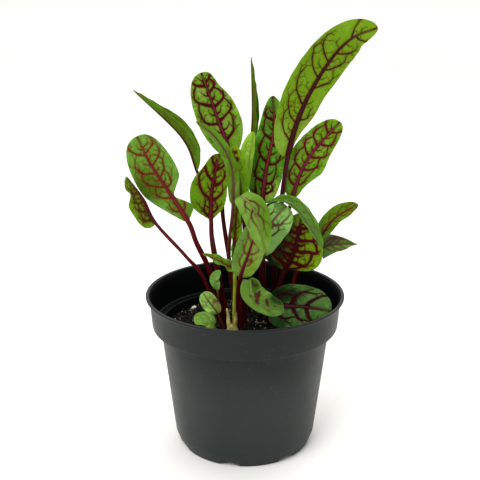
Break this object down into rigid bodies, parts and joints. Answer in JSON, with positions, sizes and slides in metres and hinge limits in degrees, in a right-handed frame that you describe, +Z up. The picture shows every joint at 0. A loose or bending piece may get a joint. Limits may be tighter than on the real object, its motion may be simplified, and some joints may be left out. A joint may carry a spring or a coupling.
{
  "type": "potted red-veined sorrel plant",
  "caption": "Leafy herb with green blades veined in dark red on slim red stalks, growing from soil in a round tapered dark grey plastic nursery pot with a deep collar",
  "frame": {"origin": "middle of the pot's flat underside", "axes": "+Z up, -Y the front that the broad leaf faces look towards, +X to the right seen from the front"},
  "size_m": [0.163, 0.14, 0.3006],
  "materials": {
    "pot": "matt dark grey moulded plastic with faint scuffs",
    "soil": "rough, crumbly moist potting soil with white perlite grains",
    "sheath": "dry, papery tan sheaths",
    "leaf_green": "satin waxy leaf, quilted between dark red veins",
    "leaf_pale": "soft, pale blue-green leaf underside with raised veins",
    "stalk_red": "smooth, slightly glossy dark red stalk",
    "stalk_yellow": "smooth yellow-green stalk"
  },
  "bodies": {
    "root": {"pot": "pot", "soil": "soil", "crown_sheaths": "sheath", "leaf_01_blade": "leaf_green", "leaf_01_stalk": "stalk_red", "leaf_02_blade": "leaf_green", "leaf_02_stalk": "stalk_red", "leaf_03_blade": "leaf_green", "leaf_03_stalk": "stalk_red", "leaf_04_blade": "leaf_green", "leaf_04_stalk": "stalk_red", "leaf_05_blade": "leaf_green", "leaf_05_stalk": "stalk_red", "leaf_06_blade": "leaf_green", "leaf_06_stalk": "stalk_red", "leaf_07_blade": "leaf_green", "leaf_07_stalk": "stalk_red", "leaf_08_blade": "leaf_green", "leaf_08_stalk": "stalk_red", "leaf_09_blade": "leaf_pale", "leaf_09_stalk": "stalk_red", "leaf_10_blade": "leaf_green", "leaf_10_stalk": "stalk_red", "leaf_11_blade": "leaf_green", "leaf_11_stalk": "stalk_red", "leaf_12_blade": "leaf_green", "leaf_12_stalk": "stalk_red", "leaf_13_blade": "leaf_pale", "leaf_13_stalk": "stalk_red", "leaf_14_blade": "leaf_pale", "leaf_14_stalk": "stalk_red", "leaf_15_blade": "leaf_pale", "leaf_15_stalk": "stalk_red", "leaf_16_blade": "leaf_pale", "leaf_16_stalk": "stalk_red", "leaf_17_blade": "leaf_green", "leaf_17_stalk": "stalk_red", "leaf_18_blade": "leaf_green", "leaf_18_stalk": "stalk_red", "leaf_19_blade": "leaf_green", "leaf_19_stalk": "stalk_red", "leaf_20_blade": "leaf_green", "leaf_20_stalk": "stalk_red", "leaf_21_blade": "leaf_green", "leaf_21_stalk": "stalk_red", "leaf_22_blade": "leaf_pale", "leaf_22_stalk": "stalk_red", "leaf_23_blade": "leaf_pale", "leaf_23_stalk": "stalk_red", "leaf_24_blade": "leaf_pale", "leaf_24_stalk": "stalk_red", "leaf_25_blade": "leaf_green", "leaf_25_stalk": "stalk_red", "leaf_26_blade": "leaf_green", "leaf_26_stalk": "stalk_yellow"}
  },
  "joints": []
}
